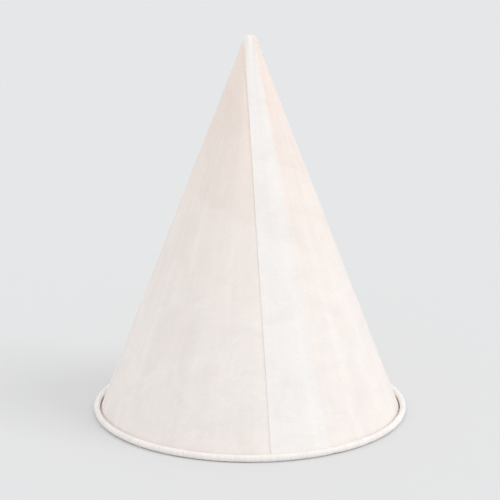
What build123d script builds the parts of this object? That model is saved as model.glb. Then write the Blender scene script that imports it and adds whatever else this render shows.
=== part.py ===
from build123d import *

import os
from math import acos, atan, cos, degrees, radians, sin

# A cone paper cup that stands on its rolled rim, point up.
#
# One sheet is wound once round a forming cone and laps over its own straight edge in a glued seam,
# so the wall is one ply thick, and two at the lap. The sheet's long edge is rolled outwards and
# tucked into the rim, and its corner is gathered over the blunt nose of the forming cone.
#
# Millimetres, +Z up. The origin is the centre of the ring that the rim stands on.

mouth_diameter = 88.0  # inside the wall, where the roll of the rim begins
cone_height = 118.0  # from there to the point that the inner faces run towards
paper = 0.22  # one ply
roll_hollow = 0.22  # radius of the hollow that is left inside the roll at the lap
roll_clearance = 0.1  # between the turns of the roll
roll_steps = 14  # short straight steps round the roll, which make a little over one turn
steps_to_land = 2  # of them, those between the wall and the one that lies flat on the ground
lap_width = 18.0  # how far the sheet laps over itself, measured along the mouth
seam_angle = -82.0  # where the outer edge of the lap meets the mouth, -90 being the front
seam_miss = 2.0  # how far that edge, carried on upwards, passes from the axis
nose_radius = 1.85  # the blunt nose of the forming cone
nose_gather = 0.36  # gathered paper over that nose, beyond the two plies of the lap

mouth_radius = mouth_diameter / 2
half_angle = atan(mouth_radius / cone_height)
lean = degrees(half_angle)
outward = Vector(cos(half_angle), sin(half_angle))  # square to the wall, in a cut along the axis

# The roll is a spiral of half turns about two centres, and each half turn is drawn in by this.
draw_in = paper + roll_clearance / 2
roll_radius = roll_hollow + 2 * paper + 2 * draw_in
roll_step = (90 - lean) / (steps_to_land + 0.5)
roll_height = roll_radius * cos(radians(roll_step / 2))
roll_centre = Vector(mouth_radius + outward.X * roll_radius, roll_height)

mouth_edge = roll_centre - outward * roll_radius
point_height = mouth_edge.Y + cone_height
nose_centre = Vector(0, point_height - nose_radius / sin(half_angle))
nose_foot = nose_centre + outward * nose_radius
nose_top = nose_centre.Y + nose_radius + 2 * paper + nose_gather
wrap_point = point_height + 2 * paper / sin(half_angle)
wrap_radius = (wrap_point - nose_top) / (1 / sin(half_angle) - 1)
wrap_centre = Vector(0, nose_top - wrap_radius)

# The rising ply leaves the wall along a tangent, and this turn takes it one ply further out.
rise_angle = degrees(acos(mouth_radius / (mouth_radius + paper / cos(half_angle))))
inner_edge_angle = seam_angle + degrees(lap_width / mouth_radius)
rise_start_angle = inner_edge_angle + rise_angle
turn_round_nose = 90  # the outer ply goes on this far past its seam, until its edge cuts it off


def radial_plane(angle):
    """The plane that holds the axis and the wall at an angle round it."""
    across = Vector(1, 0, 0).rotate(Axis.Z, angle)
    return Plane(origin=(0, 0, 0), x_dir=across, z_dir=across.cross(Vector(0, 0, 1)))


def roll_point(step, depth):
    """A corner of one face of the sheet, some steps round the roll from the wall."""
    half_turns = step * roll_step // 180
    centre = roll_centre + outward * draw_in * (half_turns % 2)
    radius = roll_radius - draw_in * half_turns - depth
    return centre + Vector(radius, 0).rotate(Axis.Z, 180 + lean + step * roll_step)


def draw_face(depth):
    """Draw one face of the sheet, from the nose down the wall and round the roll.

    The depth is counted outwards from the inner face. Returns the face's two ends.
    """
    top = nose_foot + outward * depth
    roll = [roll_point(step, depth) for step in range(roll_steps + 1)]
    Polyline(top, *roll)
    return top, roll[-1]


def open_section(angle, near, far):
    """The cut through wall and roll, for the paper between two depths."""
    with BuildSketch(radial_plane(angle)) as section:
        with BuildLine():
            near_top, near_cut = draw_face(near)
            far_top, far_cut = draw_face(far)
            Line(near_top, far_top)
            Line(near_cut, far_cut)
        make_face()
    return section.sketch


def closed_section(angle, thickness):
    """The cut through half of the cup, for a wall of the given thickness with the nose closed.

    The sheet's corner wraps the nose, so there the wall has become two plies thick all round.
    """
    with BuildSketch(radial_plane(angle)) as section:
        with BuildLine():
            inner_top, inner_cut = draw_face(0)
            outer_top, outer_cut = draw_face(thickness)
            Line(inner_cut, outer_cut)
            inner_nose = CenterArc(nose_centre, nose_radius, lean, 90 - lean)
            outer_nose = CenterArc(wrap_centre, wrap_radius, lean, 90 - lean)
            Line(inner_nose @ 1, outer_nose @ 1)
            Line(outer_top, outer_nose @ 0)
        make_face()
    return section.sketch


# The lap, both plies thick, ends at the straight outer edge of the sheet.
with BuildPart() as lap:
    revolve(
        closed_section(seam_angle - turn_round_nose, 2 * paper),
        axis=Axis.Z,
        revolution_arc=inner_edge_angle - seam_angle + turn_round_nose,
    )
    edge_turn = degrees(acos(seam_miss / mouth_radius))
    past_edge = Vector(1, 0, 0).rotate(Axis.Z, seam_angle - edge_turn)
    split(bisect_by=Plane(origin=past_edge * seam_miss, z_dir=past_edge), keep=Keep.BOTTOM)

with BuildPart() as paper_cone:
    revolve(closed_section(rise_start_angle, paper), axis=Axis.Z)
    # Beside its inner edge the sheet leaves the wall and climbs onto the first ply.
    revolve(
        open_section(inner_edge_angle, 0, paper),
        axis=Axis.Z,
        revolution_arc=rise_angle,
        mode=Mode.SUBTRACT,
    )
    on_first_ply = open_section(inner_edge_angle, paper, 2 * paper)
    on_the_wall = open_section(rise_start_angle, 0, paper)
    loft([on_first_ply, on_the_wall], ruled=True)
    add(lap.part)

paper_cone.part.label = "paper_cone"
os.makedirs("parts", exist_ok=True)
export_step(paper_cone.part, "parts/paper_cone.step")
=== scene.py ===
"""A cone paper cup, point up on its rolled rim, made of one sheet of dry-waxed paper.

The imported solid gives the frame: how wide the rim is and how high the nose stands. The sheet is
drawn as a profile, wound once round the cone, lapped over itself, rolled at the mouth and
gathered over the nose, and then gets the thickness of its paper.
"""

import logging
import math
from collections.abc import Callable, Iterator
from contextlib import contextmanager
from dataclasses import dataclass, field
from enum import Enum

import bmesh
import bpy
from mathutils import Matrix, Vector, noise


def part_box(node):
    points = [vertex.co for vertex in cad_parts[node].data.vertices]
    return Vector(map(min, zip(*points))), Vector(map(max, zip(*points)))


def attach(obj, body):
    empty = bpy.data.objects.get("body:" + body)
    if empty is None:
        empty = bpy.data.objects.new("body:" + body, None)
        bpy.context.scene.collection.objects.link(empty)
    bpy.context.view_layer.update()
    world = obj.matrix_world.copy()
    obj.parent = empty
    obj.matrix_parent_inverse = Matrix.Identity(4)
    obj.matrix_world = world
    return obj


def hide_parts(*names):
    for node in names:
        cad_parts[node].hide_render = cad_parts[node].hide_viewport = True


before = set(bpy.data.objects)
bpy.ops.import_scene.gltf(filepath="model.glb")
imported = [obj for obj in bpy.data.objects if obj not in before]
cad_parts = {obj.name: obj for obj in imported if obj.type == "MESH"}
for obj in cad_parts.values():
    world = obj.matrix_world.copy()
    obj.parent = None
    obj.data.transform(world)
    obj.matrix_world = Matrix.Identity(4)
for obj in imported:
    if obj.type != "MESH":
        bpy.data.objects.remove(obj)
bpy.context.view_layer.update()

MM = 0.001
UP = Vector((0, 0, 1))
ONE_TURN = 2 * math.pi
CUP_NODE = "paper_cone"
SMOOTHLY = {"interpolation_type": "SMOOTHSTEP"}
EVEN = 0.5  # what a pattern gives where it is even
log = logging.getLogger("paper_cup")


class Turn(Enum):
    """A turn of the sheet round the cone."""

    FIRST = "first turn"
    LAP = "lap"


def select_only(piece: bpy.types.Object) -> None:
    """Make one piece the only selected object, and the active one.

    Args:
        piece: the object to select.
    """
    bpy.ops.object.select_all(action="DESELECT")
    piece.select_set(True)
    bpy.context.view_layer.objects.active = piece


@contextmanager
def editing(piece: bpy.types.Object) -> Iterator[None]:
    """Edit one piece alone, and go back to object mode at the end.

    Args:
        piece: the mesh object to edit.
    """
    select_only(piece)
    bpy.ops.object.mode_set(mode="EDIT")
    yield
    bpy.ops.object.mode_set(mode="OBJECT")


def select_vertices(piece: bpy.types.Object, wanted: Callable[[Vector], bool]) -> None:
    """Select the shown vertices of a piece in edit mode by their place.

    Args:
        piece: the mesh object that is being edited.
        wanted: says of a place whether a vertex there is selected.
    """
    bpy.ops.mesh.select_all(action="DESELECT")
    cage = bmesh.from_edit_mesh(piece.data)
    for vertex in cage.verts:
        if not vertex.hide and wanted(vertex.co):
            vertex.select_set(True)
    cage.select_flush(True)
    bmesh.update_edit_mesh(piece.data)


def linear(colour: str) -> tuple[float, float, float, float]:
    """Turn an sRGB hex colour into linear red, green, blue and alpha.

    Args:
        colour: the colour, such as "#f4efe8".

    Returns:
        The linear colour with an alpha of 1.
    """
    shares = [int(colour[i : i + 2], 16) / 255 for i in (1, 3, 5)]
    # These are the numbers of the sRGB curve.
    return (*[x / 12.92 if x <= 0.04045 else ((x + 0.055) / 1.055) ** 2.4 for x in shares], 1.0)


def ease(share: float) -> float:
    """Go smoothly from 0 to 1 as a share does, and stay there beyond."""
    held = min(max(share, 0.0), 1.0)
    return held * held * (3 - 2 * held)


def turned(angle: float) -> Vector:
    """The level direction at an angle round the axis."""
    return Vector((math.cos(angle), math.sin(angle), 0))


def outwards(place: Vector) -> Vector:
    """The level direction from the axis to a place."""
    return Vector((place.x, place.y, 0)).normalized()


def add_node(
    tree: bpy.types.NodeTree, kind: str, inputs: dict[str | int, object], **settings: object
) -> bpy.types.Node:
    """Add a shader node with its settings and links.

    Args:
        tree: the node tree that it goes into.
        kind: the node's type, without the word ShaderNode.
        inputs: for each socket's name or number, a value or the output socket that is linked to it.
        settings: the node's own properties.

    Returns:
        The new node.
    """
    node = tree.nodes.new("ShaderNode" + kind)
    for name, value in settings.items():
        setattr(node, name, value)
    for name, value in inputs.items():
        if isinstance(value, bpy.types.NodeSocket):
            tree.links.new(value, node.inputs[name])
        else:
            node.inputs[name].default_value = value
    return node


@dataclass(frozen=True)
class Grain:
    """An uneven pattern in the paper, with the size of its patches in millimetres."""

    width: float
    length: float
    layers: float  # how many finer patterns lie over the first
    depth: float  # from its darkest to its lightest, as a share of the paper's own lightness
    twist: float = 0.0
    reached: tuple[float, float] = (0.25, 0.75)  # what the pattern nearly always stays between

    def added(self, tree: bpy.types.NodeTree, place: bpy.types.NodeSocket) -> bpy.types.NodeSocket:
        """Add the pattern at a place on the sheet.

        Args:
            tree: the node tree that it goes into.
            place: the place in millimetres.

        Returns:
            The pattern, which is EVEN on average.
        """
        stretch = add_node(
            tree, "Mapping", {"Vector": place, "Scale": (1 / self.width, 1 / self.length, 1)}
        )
        look = {"Scale": 1.0, "Detail": self.layers, "Distortion": self.twist}
        return add_node(
            tree, "TexNoise", {"Vector": stretch.outputs[0], **look}, noise_dimensions="2D"
        ).outputs[0]

    def lightened(
        self, tree: bpy.types.NodeTree, pattern: bpy.types.NodeSocket, lightness: object
    ) -> bpy.types.NodeSocket:
        """Add the pattern to how light the paper is.

        Args:
            tree: the node tree.
            pattern: the pattern.
            lightness: the lightness so far, 1 being the paper's own.

        Returns:
            The new lightness.
        """
        low, high = self.reached
        half = self.depth / 2
        limits = {"From Min": low, "From Max": high, "To Min": -half, "To Max": half}
        change = add_node(tree, "MapRange", {"Value": pattern, **limits}, **SMOOTHLY).outputs[0]
        return add_node(tree, "Math", {0: change, 1: lightness}, operation="ADD").outputs[0]


@dataclass(frozen=True)
class CupPaper:
    """Bleached cup stock, dry waxed.

    To the eye it is a soft, nearly matt warm white. Its colour holds painted light: one ply lets
    some light through, so it is painted warmer, most of all near the point, and plies that lie on
    one another are painted paler. It is a little cloudy where its fibres lie unevenly, faintly
    streaked down the cone and lined on the roll.
    Its lengths are in millimetres.
    """

    one_ply: str = "#f5ece7"
    # Painted glow: one ply near the point is tinted warmer, for light that comes through the paper.
    near_point_painted_glow: str = "#f3e3da"
    # Painted paler, for plies that let less light through than one ply.
    more_plies_painted_paler: str = "#f6f0ec"
    painted_glow_reach: float = 100.0  # how far from the point the warmer tint is gone
    outer_edge_blur: float = 0.02
    inner_edge_blur: float = 0.8  # wider, as this edge shows only through the ply that covers it
    roughness: tuple[float, float] = (0.49, 0.61)
    light_bending: float = 1.45
    light_let_in: float = 0.2
    light_reach: tuple[float, float, float] = (0.5, 0.36, 0.25)  # red, green and blue
    relief: float = 0.35
    relief_height: float = 0.05
    # Fibres clump into clouds about a centimetre across.
    cloud: Grain = Grain(width=11, length=13, layers=5, depth=0.05, twist=0.8)
    # The paper is faintly lighter and darker in streaks along the straight lines that it is wound
    # on.
    streak: Grain = Grain(width=4.5, length=200, layers=3, depth=0.03)
    # Real fibres are a tenth as wide and the real tooth is a tenth as coarse, too fine to show.
    fibre: Grain = Grain(width=0.3, length=3, layers=1, depth=0.03)
    tooth: Grain = Grain(width=0.55, length=0.55, layers=2, depth=0.02)
    # The roll is creased crosswise a little under a millimetre apart, where it was curled over.
    roll_line: Grain = Grain(width=0.8, length=30, layers=1, depth=0.05)

    def material(self, sheet: "WoundSheet") -> bpy.types.Material:
        """Make the material.

        Args:
            sheet: the sheet that it dresses, for its map and the places of its edges.

        Returns:
            The material.
        """
        made = bpy.data.materials.new("dry_waxed_cup_paper")
        made.use_nodes = True
        tree = made.node_tree
        tree.nodes.clear()
        blank = add_node(tree, "UVMap", {}, uv_map=sheet.blank_map).outputs[0]
        side = sheet.blank_size / MM
        laid = {"Location": (-side / 2, -side, 0), "Scale": (side, side, 1)}
        flat = add_node(tree, "Mapping", {"Vector": blank, **laid}).outputs[0]
        along = add_node(tree, "VectorMath", {0: flat}, operation="LENGTH").outputs["Value"]
        rulings = self.rulings(tree, flat, along, sheet)
        mouth = sheet.slant / MM
        limits = {"From Min": mouth, "From Max": mouth + sheet.roll_radius / MM}
        rolled = add_node(tree, "MapRange", {"Value": along, **limits}, **SMOOTHLY).outputs[0]
        cloud = self.cloud.added(tree, flat)
        tooth = self.tooth.added(tree, flat)
        fibres = self.fibre.added(tree, flat)
        streaks = self.streak.added(tree, rulings)
        lined = {"Factor": rolled, "A": EVEN, "B": self.roll_line.added(tree, rulings)}
        lines = add_node(tree, "Mix", lined, data_type="FLOAT").outputs["Result"]
        lightness = 1.0
        for grain, pattern in (
            (self.cloud, cloud),
            (self.streak, streaks),
            (self.fibre, fibres),
            (self.tooth, tooth),
            (self.roll_line, lines),
        ):
            lightness = grain.lightened(tree, pattern, lightness)
        colour = self.tint(tree, along, rolled, sheet)
        shade = add_node(tree, "VectorMath", {0: colour, "Scale": lightness}, operation="SCALE")
        height = add_node(tree, "Math", {0: tooth, 1: fibres}, operation="ADD").outputs[0]
        height = add_node(tree, "Math", {0: height, 1: lines}, operation="ADD").outputs[0]
        raised = {"Strength": self.relief, "Distance": self.relief_height * MM}
        relief = add_node(tree, "Bump", {"Height": height, **raised})
        smooth, rough = self.roughness
        low, high = self.cloud.reached
        limits = {"From Min": low, "From Max": high, "To Min": smooth, "To Max": rough}
        matt = add_node(tree, "MapRange", {"Value": cloud, **limits}, **SMOOTHLY)
        paper = add_node(
            tree,
            "BsdfPrincipled",
            {
                "Base Color": shade.outputs[0],
                "Roughness": matt.outputs[0],
                "Normal": relief.outputs[0],
                "IOR": self.light_bending,
                "Subsurface Weight": self.light_let_in,
                "Subsurface Radius": self.light_reach,
                "Subsurface Scale": MM,
            },
        )
        add_node(tree, "OutputMaterial", {"Surface": paper.outputs[0]})
        return made

    def tint(
        self,
        tree: bpy.types.NodeTree,
        along: bpy.types.NodeSocket,
        rolled: bpy.types.NodeSocket,
        sheet: "WoundSheet",
    ) -> bpy.types.NodeSocket:
        """Colour the paper with painted light, by how much light comes through it.

        Args:
            tree: the node tree.
            along: the distance from the cone's point in millimetres.
            rolled: 1 on the roll and 0 on the wall.
            sheet: the sheet, for where it laps over itself.

        Returns:
            The colour.
        """
        # The warmer tint near the point is painted light, a glow for light coming through the
        # paper.
        limits = {"From Min": 0.0, "From Max": self.painted_glow_reach}
        painted_glow_faded = add_node(tree, "MapRange", {"Value": along, **limits}, **SMOOTHLY).outputs[0]
        single = {"Factor": painted_glow_faded, "A": linear(self.near_point_painted_glow), "B": linear(self.one_ply)}
        one_ply = add_node(tree, "Mix", single, data_type="RGBA").outputs["Result"]
        # Where plies lie on one another the colour is painted paler, for less light coming through
        # them.
        backed_painted_paler = self.backed_painted_paler(tree, rolled, sheet)
        both = {"Factor": backed_painted_paler, "A": one_ply, "B": linear(self.more_plies_painted_paler)}
        return add_node(tree, "Mix", both, data_type="RGBA").outputs["Result"]

    def rulings(
        self,
        tree: bpy.types.NodeTree,
        flat: bpy.types.NodeSocket,
        along: bpy.types.NodeSocket,
        sheet: "WoundSheet",
    ) -> bpy.types.NodeSocket:
        """Find the place across and along the straight lines that run down the cone.

        Args:
            tree: the node tree.
            flat: the place on the flat sheet in millimetres.
            along: the distance from the cone's point in millimetres.
            sheet: the sheet, for how far its mouth is from its point.

        Returns:
            The distance across the lines at the mouth and the distance along them, in millimetres.
        """
        x, y, _ = add_node(tree, "SeparateXYZ", {0: flat}).outputs
        around = add_node(tree, "Math", {0: x, 1: y}, operation="ARCTAN2").outputs[0]
        reach = {0: around, 1: sheet.slant / MM}
        across = add_node(tree, "Math", reach, operation="MULTIPLY").outputs[0]
        return add_node(tree, "CombineXYZ", {0: across, 1: along}).outputs[0]

    def backed_painted_paler(
        self, tree: bpy.types.NodeTree, rolled: bpy.types.NodeSocket, sheet: "WoundSheet"
    ) -> bpy.types.NodeSocket:
        """Find where the paper lies on another ply, in the lap and in the roll, where it is painted
        paler.

        Args:
            tree: the node tree.
            rolled: 1 on the roll and 0 on the wall.
            sheet: the sheet, for the planes of its two straight edges.

        Returns:
            1 there, and 0 elsewhere.
        """
        place = add_node(tree, "TexCoord", {}).outputs["Object"]
        lapped = 1.0
        for square, reach, blur in (
            (-turned(sheet.seam_turn), -sheet.seam_miss, self.outer_edge_blur * MM),
            (turned(sheet.inner_edge_angle - math.pi / 2), 0.0, self.inner_edge_blur * MM),
        ):
            past = add_node(tree, "VectorMath", {0: place, 1: square}, operation="DOT_PRODUCT")
            edge = {
                "Value": past.outputs["Value"],
                "From Min": reach - blur,
                "From Max": reach + blur,
            }
            within = add_node(tree, "MapRange", edge, **SMOOTHLY).outputs[0]
            lapped = add_node(tree, "Math", {0: within, 1: lapped}, operation="MULTIPLY").outputs[0]
        return add_node(tree, "Math", {0: lapped, 1: rolled}, operation="MAXIMUM").outputs[0]


@dataclass
class WoundSheet:
    """The cup's one sheet of paper, from its gathered corner to the cut edge inside the roll."""

    rim_radius: float  # outside the roll
    top: float
    mouth_radius: float = 44 * MM  # inside the wall, where the roll begins
    cone_height: float = 118 * MM  # from there to the point that the inner faces run towards
    paper: float = 0.22 * MM  # one ply
    glue: float = 0.01 * MM  # between the plies of the lap
    roll_radius: float = 1.2 * MM  # to the sheet's inner face, which is the roll's outside
    roll_draw_in: float = 0.27 * MM  # between the centres of the roll's half turns
    roll_tuck: float = math.radians(29.5)  # how far the cut edge goes on past a whole turn
    nose_radius: float = 1.85 * MM
    pinhole: float = 0.15 * MM  # left on the axis by the winding, until it is closed
    seam_angle: float = math.radians(-82)  # where the outer edge meets the mouth, -90 in front
    seam_miss: float = 2 * MM  # how far that edge, carried on upwards, passes from the axis
    lap_width: float = 18 * MM  # along the mouth
    column: float = math.radians(1)  # from one copy of the profile to the next
    wrap_column: float = math.radians(3)  # the same where only the nose is wrapped
    nose_rows: int = 8
    crimp_rows: int = 12
    wall_rows: int = 26
    half_roll_rows: int = 18
    tuck_rows: int = 3
    cut_tolerance: float = 0.0005 * MM  # a vertex this near to the cut counts as on it
    crimp_start: float = 3 * MM  # down the wall from the point, where the crimps begin to fade
    crimp_length: float = 14 * MM
    crimp_depth: float = 0.2 * MM
    crimp_width: float = 0.8 * MM
    pucker_depth: float = 0.07 * MM
    pucker_width: float = 2.6 * MM
    sway_depth: float = 0.4 * MM
    sway_width: float = 24 * MM
    cockle_depth: float = 0.12 * MM
    cockle_width: float = 6 * MM
    sharpest_smoothed: float = math.radians(40)
    blank_map: str = "blank"
    blank_size: float = 270 * MM  # side of the square that the flat sheet is mapped in
    finish: CupPaper = field(default_factory=CupPaper)

    @property
    def half_angle(self) -> float:
        """The angle between the wall and the axis."""
        return math.atan(self.mouth_radius / self.cone_height)

    @property
    def slant(self) -> float:
        """The length of the wall, from its point to the mouth."""
        return math.hypot(self.mouth_radius, self.cone_height)

    @property
    def outward(self) -> Vector:
        """Square to the wall, in the plane y = 0."""
        return Vector((math.cos(self.half_angle), 0, math.sin(self.half_angle)))

    @property
    def roll_centre(self) -> Vector:
        """The middle of the rolled rim's section, in the plane y = 0."""
        return Vector((self.rim_radius - self.roll_radius, 0, self.roll_radius))

    @property
    def mouth_edge(self) -> Vector:
        """Where the inner face of the wall runs into the roll, in the plane y = 0."""
        return self.roll_centre - self.outward * self.roll_radius

    @property
    def point_height(self) -> float:
        """The height at which the inner face of the wall would come to a point."""
        return self.mouth_edge.z + self.mouth_edge.x / math.tan(self.half_angle)

    @property
    def nose_centre(self) -> Vector:
        """The centre of the inner face of the nose."""
        return Vector((0, 0, self.point_height - self.nose_radius / math.sin(self.half_angle)))

    @property
    def start(self) -> Vector:
        """Where the profile starts, at the edge of a pinhole in the nose."""
        rise = math.sqrt(self.nose_radius**2 - self.pinhole**2)
        return self.nose_centre + Vector((self.pinhole, 0, rise))

    @property
    def inner_edge_angle(self) -> float:
        """Where the sheet begins, at its inner edge under the lap."""
        return self.seam_angle + self.lap_width / self.mouth_radius

    @property
    def rise(self) -> float:
        """The turn over which the sheet climbs onto its own first turn, along a tangent."""
        ply = self.paper / math.cos(self.half_angle)
        return math.acos(self.mouth_radius / (self.mouth_radius + ply))

    @property
    def seam_turn(self) -> float:
        """The direction square to the upright plane that the sheet's outer edge lies in."""
        return self.seam_angle - math.acos(self.seam_miss / self.mouth_radius)

    def build(self) -> bpy.types.Object:
        """Model the sheet and dress it.

        Returns:
            The finished piece.
        """
        bpy.ops.mesh.primitive_plane_add(size=MM, location=self.start, calc_uvs=False)
        sheet = bpy.context.object
        sheet.name = "wound_sheet"
        select_only(sheet)
        bpy.ops.object.transform_apply()
        with editing(sheet):
            bpy.ops.mesh.select_all(action="SELECT")
            bpy.ops.mesh.merge(type="CENTER")
            self.draw_profile()
            self.measure(sheet)
            self.wind_up(sheet)
            self.close_point(sheet)
        self.lay_out(sheet)
        self.settle(sheet)
        with editing(sheet):
            bpy.ops.mesh.reveal()
            self.close_point(sheet)
        self.thicken(sheet)
        sheet.data.materials.append(self.finish.material(self))
        return sheet

    def arc(self, angle: float, rows: int, centre: Vector) -> None:
        """Draw the profile on along an arc.

        Args:
            angle: how far, outwards from the wall if it is positive.
            rows: into how many edges.
            centre: the centre of the arc.
        """
        bpy.ops.mesh.spin(
            angle=angle, steps=rows, center=centre, axis=(0, 1, 0), use_auto_merge=False
        )

    def line(self, whole: Vector, rows: int) -> None:
        """Draw the profile on along a straight line.

        Args:
            whole: how far and which way.
            rows: into how many edges.
        """
        for _ in range(rows):
            bpy.ops.mesh.extrude_region_move(TRANSFORM_OT_translate={"value": whole / rows})

    def wind(self, angle: float, column: float, flip: bool = False) -> None:
        """Wind the selected profile on round the cone, clockwise as seen from above.

        Args:
            angle: how far.
            column: about how far it is from one copy of the profile to the next.
            flip: turn the new faces round, as a bare profile needs for them to face outwards.
        """
        bpy.ops.mesh.spin(
            angle=angle,
            steps=round(angle / column),
            center=(0, 0, 0),
            axis=UP,
            use_normal_flip=flip,
            use_auto_merge=False,
        )

    def draw_profile(self) -> None:
        """Draw the inner face of the sheet in a cut along the axis, from the nose to the roll."""
        drawn = math.asin(self.pinhole / self.nose_radius)
        self.arc(self.half_angle - math.pi / 2 + drawn, self.nose_rows, self.nose_centre)
        foot = self.nose_centre + self.outward * self.nose_radius
        down = self.mouth_edge - foot
        crimped = down.normalized() * self.crimp_length
        self.line(crimped, self.crimp_rows)
        self.line(down - crimped, self.wall_rows)
        drawn_in = self.roll_centre + self.outward * self.roll_draw_in
        self.arc(math.pi, self.half_roll_rows, self.roll_centre)
        self.arc(math.pi, self.half_roll_rows, drawn_in)
        self.arc(self.roll_tuck, self.tuck_rows, self.roll_centre)

    def measure(self, sheet: bpy.types.Object) -> None:
        """Give each vertex of the profile its distance along the sheet from the cone's point.

        Args:
            sheet: the profile, in edit mode.
        """
        cage = bmesh.from_edit_mesh(sheet.data)
        along = cage.verts.layers.float.new("along")
        # From the point down to where the wall meets the nose, less the way back round the nose.
        bend = math.acos(self.pinhole / self.nose_radius) - self.half_angle
        vertex = max(cage.verts, key=lambda v: v.co.z)
        vertex[along] = self.nose_radius / math.tan(self.half_angle) - self.nose_radius * bend
        walked = None
        while edges := [edge for edge in vertex.link_edges if edge is not walked]:
            walked = edges[0]
            after = walked.other_vert(vertex)
            after[along] = vertex[along] + walked.calc_length()
            vertex = after
        bmesh.update_edit_mesh(sheet.data)

    def wind_up(self, sheet: bpy.types.Object) -> None:
        """Wind the whole sheet from its profile, and leave only the lap shown.

        Args:
            sheet: the profile, in edit mode.
        """
        bpy.ops.mesh.select_all(action="SELECT")
        # With no window, this operator turns the other way.
        bpy.ops.transform.rotate(
            value=-self.inner_edge_angle, orient_axis="Z", center_override=(0, 0, 0)
        )
        self.wind(ONE_TURN - self.rise, self.column, flip=True)
        bpy.ops.mesh.hide(unselected=True)
        self.climb()
        self.lap(sheet)

    def climb(self) -> None:
        """Climb from the cone onto the first turn, ever faster, as a tangent does."""
        steps = round(self.rise / self.column)
        for step in range(steps):
            self.wind(self.rise / steps, self.column)
            share = ((step + 1) ** 2 - step**2) / steps**2
            bpy.ops.transform.shrink_fatten(value=share * (self.paper + self.glue))

    def lap(self, sheet: bpy.types.Object) -> None:
        """Lap over the first turn as far as the straight outer edge, and wrap the nose.

        Args:
            sheet: the sheet, with the profile at the end of the climb selected.
        """
        square = turned(self.seam_turn)
        to_seam = self.inner_edge_angle - self.seam_turn
        self.wind(to_seam, self.column)
        bpy.ops.mesh.select_all(action="SELECT")
        bpy.ops.mesh.bisect(
            plane_co=square * self.seam_miss,
            plane_no=square,
            clear_outer=True,
            threshold=self.cut_tolerance,
        )
        aside = square.cross(UP)
        # A third of a column to each side takes in the profile at the seam and no other.
        near = math.tan(self.column / 3)
        select_vertices(sheet, lambda place: abs(place.dot(aside)) < near * place.dot(square))
        self.wind(ONE_TURN - self.rise - to_seam, self.wrap_column)

    def close_point(self, sheet: bpy.types.Object) -> None:
        """Draw the shown rim of a pinhole in to a point on the axis.

        Args:
            sheet: the sheet, in edit mode.
        """
        # A point that is already closed lies nearer to the axis than a third of the pinhole.
        closed = self.pinhole / 3
        select_vertices(sheet, lambda place: closed < place.xy.length < 2 * self.pinhole)
        bpy.ops.mesh.merge(type="CENTER")
        bpy.ops.transform.resize(value=(0, 0, 1), center_override=(0, 0, 0))

    def unwound(self, angle: float, turn: Turn) -> float:
        """Count an angle on from one turn of the sheet to the next.

        Args:
            angle: the angle round the axis.
            turn: the turn that it is on.

        Returns:
            The angle, which falls all the way from the inner edge of the sheet to the outer one.
        """
        meeting = self.inner_edge_angle + self.rise
        if turn is Turn.FIRST:
            return meeting + (angle - meeting) % ONE_TURN
        return meeting - (meeting - angle) % ONE_TURN

    def lay_out(self, sheet: bpy.types.Object) -> None:
        """Map the sheet as it lay flat, with the cone's point at the top middle of a square.

        Args:
            sheet: the wound sheet, with only its lap shown.
        """
        mesh = sheet.data
        layer = mesh.uv_layers.new(name=self.blank_map)
        along = mesh.attributes["along"].data
        opening = math.sin(self.half_angle)
        middle = (self.inner_edge_angle + ONE_TURN + self.seam_angle) / 2
        for face in mesh.polygons:
            angle = math.atan2(face.center.y, face.center.x)
            around = self.unwound(angle, Turn.FIRST if face.hide else Turn.LAP)
            for corner, index in zip(face.loop_indices, face.vertices, strict=True):
                place = mesh.vertices[index].co
                # A vertex on the axis has no angle of its own, and takes its face's.
                past = 0.0
                if place.xy.length > self.pinhole:
                    past = (math.atan2(place.y, place.x) - angle + math.pi) % ONE_TURN - math.pi
                flat = (around + past - middle) * opening
                reach = along[index].value / self.blank_size
                across, down = reach * math.sin(flat), reach * math.cos(flat)
                layer.uv[corner].vector = (0.5 + across, 1 - down)

    def settle(self, sheet: bpy.types.Object) -> None:
        """Give the paper its unevenness.

        The wall sways a little along its straight lines, the glued lap is cockled, the nose is
        crimped and its wrapped corner gathered up, and the roll is puckered, always inwards from
        its true round.

        Args:
            sheet: the wound sheet, with only its lap shown.
        """
        mesh = sheet.data
        wrapped = {index for face in mesh.polygons if not face.hide for index in face.vertices}
        normals = [vertex.normal.copy() for vertex in mesh.vertices]
        for vertex, normal in zip(mesh.vertices, normals, strict=True):
            inwards = self.into_roll(vertex.co)
            if inwards.length < self.roll_radius + self.paper / 2:
                vertex.co += inwards * self.pucker(vertex.co) / self.roll_radius
                continue
            uneven = self.sway(vertex.co) + self.cockle(vertex.co) + self.crimp(vertex.co)
            vertex.co += normal * uneven
            if vertex.index in wrapped:
                vertex.co.z += self.gather(vertex.co.xy.length)

    def into_roll(self, place: Vector) -> Vector:
        """The way from a place to the middle of the roll's section there."""
        return outwards(place) * self.roll_centre.x + UP * self.roll_centre.z - place

    def pucker(self, place: Vector) -> float:
        """How far the outside of the roll is drawn in at a place."""
        around = outwards(place) * self.rim_radius
        return self.pucker_depth * ease((1 + noise.noise(around / self.pucker_width)) / 2)

    def bow(self, place: Vector) -> float:
        """How free the wall is to bow at a place, from 0 at its ends to 1 half way down."""
        share = (self.point_height - place.z) / self.cone_height
        return 4 * share * (1 - share)

    def sway(self, place: Vector) -> float:
        """How far the wall bows out at a place, by how the straight line there lies."""
        around = outwards(place) * self.mouth_radius
        return self.sway_depth * self.bow(place) * noise.noise(around / self.sway_width)

    def cockle(self, place: Vector) -> float:
        """How far the glued lap stands up in low waves.

        Args:
            place: the place on the sheet.

        Returns:
            The distance, which fades out beside the lap.
        """
        past_outer = self.seam_miss - place.dot(turned(self.seam_turn))
        past_inner = place.dot(turned(self.inner_edge_angle - math.pi / 2))
        within = ease(1 + past_outer / self.cockle_width) * ease(1 + past_inner / self.cockle_width)
        return self.cockle_depth * within * self.bow(place) * noise.noise(place / self.cockle_width)

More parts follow.
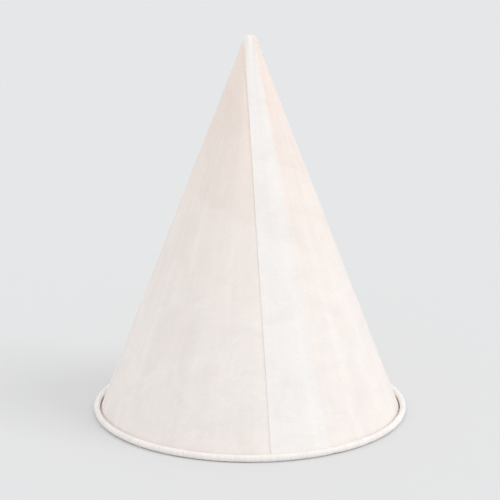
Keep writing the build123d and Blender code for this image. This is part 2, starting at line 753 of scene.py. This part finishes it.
    def crimp(self, place: Vector) -> float:
        """How far the crimped paper at the nose stands out.

        Args:
            place: the place on the sheet.

        Returns:
            The distance, which fades out down the wall and towards the axis.
        """
        around = outwards(place) * self.nose_radius
        past = (self.point_height - place.z) / math.cos(self.half_angle) - self.crimp_start
        fade = ease(place.xy.length / self.nose_radius) * (1 - ease(past / self.crimp_length))
        return self.crimp_depth * fade * noise.noise(around / self.crimp_width)

    def gather(self, radius: float) -> float:
        """How far the wrapped corner is gathered up, at a distance from the axis."""
        most = self.top - (self.start.z + 2 * self.paper + self.glue)
        return most * (1 - ease(radius / self.nose_radius))

    def thicken(self, sheet: bpy.types.Object) -> None:
        """Give the sheet the thickness of its paper, outwards from the cone, and smooth it.

        Args:
            sheet: the wound sheet, selected.
        """
        modifier = sheet.modifiers.new("thickness", "SOLIDIFY")
        modifier.thickness = self.paper
        modifier.offset = 1
        modifier.use_quality_normals = True
        bpy.ops.object.modifier_apply(modifier=modifier.name)
        bpy.ops.object.shade_smooth_by_angle(angle=self.sharpest_smoothed)


@dataclass(frozen=True)
class MattPaint:
    """Pale matt paint on the studio floor, an even light grey with no shine to the eye."""

    colour: str = "#dedfe0"
    roughness: float = 0.9

    def material(self) -> bpy.types.Material:
        """Make the material.

        Returns:
            The material.
        """
        made = bpy.data.materials.new("matt_floor_paint")
        made.use_nodes = True
        tree = made.node_tree
        tree.nodes.clear()
        look = {"Base Color": linear(self.colour), "Roughness": self.roughness}
        paint = add_node(tree, "BsdfPrincipled", look)
        add_node(tree, "OutputMaterial", {"Surface": paint.outputs[0]})
        return made


@dataclass
class Studio:
    """A pale floor, plain soft light, and the camera at the photograph's angle."""

    elevation: float = math.radians(18)
    distance: float = 1.8  # from the camera to the cup, in metres
    lens: float = 440.0
    target_height: float = 50 * MM
    floor_radius: float = 3.0
    floor_sides: int = 96
    sky_colour: str = "#ffffff"
    sky: float = 0.95
    key: float = 0.6
    key_from: tuple[float, float, float] = (1.0, -0.35, 0.9)  # right, a little in front and above
    key_spread: float = math.radians(35)
    floor_finish: MattPaint = field(default_factory=MattPaint)

    def build(self) -> None:
        """Lay the floor, light it and set up the camera."""
        self.lay_floor()
        self.light()
        self.place_camera()
        bpy.context.scene.view_settings.view_transform = "Standard"

    def lay_floor(self) -> None:
        """Lay a round floor that fills the view."""
        bpy.ops.mesh.primitive_circle_add(
            vertices=self.floor_sides, radius=self.floor_radius, fill_type="NGON"
        )
        floor = bpy.context.object
        floor.name = "floor"
        floor.data.materials.append(self.floor_finish.material())

    def light(self) -> None:
        """Light the cup softly all round, and a little more from the right."""
        world = bpy.data.worlds.new("studio")
        world.use_nodes = True
        sky = world.node_tree.nodes["Background"]
        sky.inputs["Color"].default_value = linear(self.sky_colour)
        sky.inputs["Strength"].default_value = self.sky
        bpy.context.scene.world = world
        lamp = bpy.data.lights.new("key", "SUN")
        lamp.energy = self.key
        lamp.angle = self.key_spread
        key = bpy.data.objects.new("key", lamp)
        key.rotation_euler = Vector(self.key_from).to_track_quat("Z", "Y").to_euler()
        bpy.context.collection.objects.link(key)

    def place_camera(self) -> None:
        """Look at the cup from the photograph's height, from the front."""
        view = bpy.data.cameras.new("camera")
        view.lens = self.lens
        camera = bpy.data.objects.new("camera", view)
        back = Vector((0, -math.cos(self.elevation), math.sin(self.elevation)))
        camera.location = UP * self.target_height + back * self.distance
        camera.rotation_euler = back.to_track_quat("Z", "Y").to_euler()
        bpy.context.collection.objects.link(camera)
        bpy.context.scene.camera = camera


def main() -> None:
    """Build the cup and its studio, and report each piece."""
    logging.basicConfig(level=logging.INFO, format="%(message)s")
    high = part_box(CUP_NODE)[1]
    sheet = WoundSheet(rim_radius=high.x, top=high.z).build()
    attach(sheet, "root")
    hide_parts(CUP_NODE)
    log.info("%s has %d faces", sheet.name, len(sheet.data.polygons))
    Studio().build()
    log.info("the studio has its floor, light and camera")


if __name__ == "__main__":
    main()
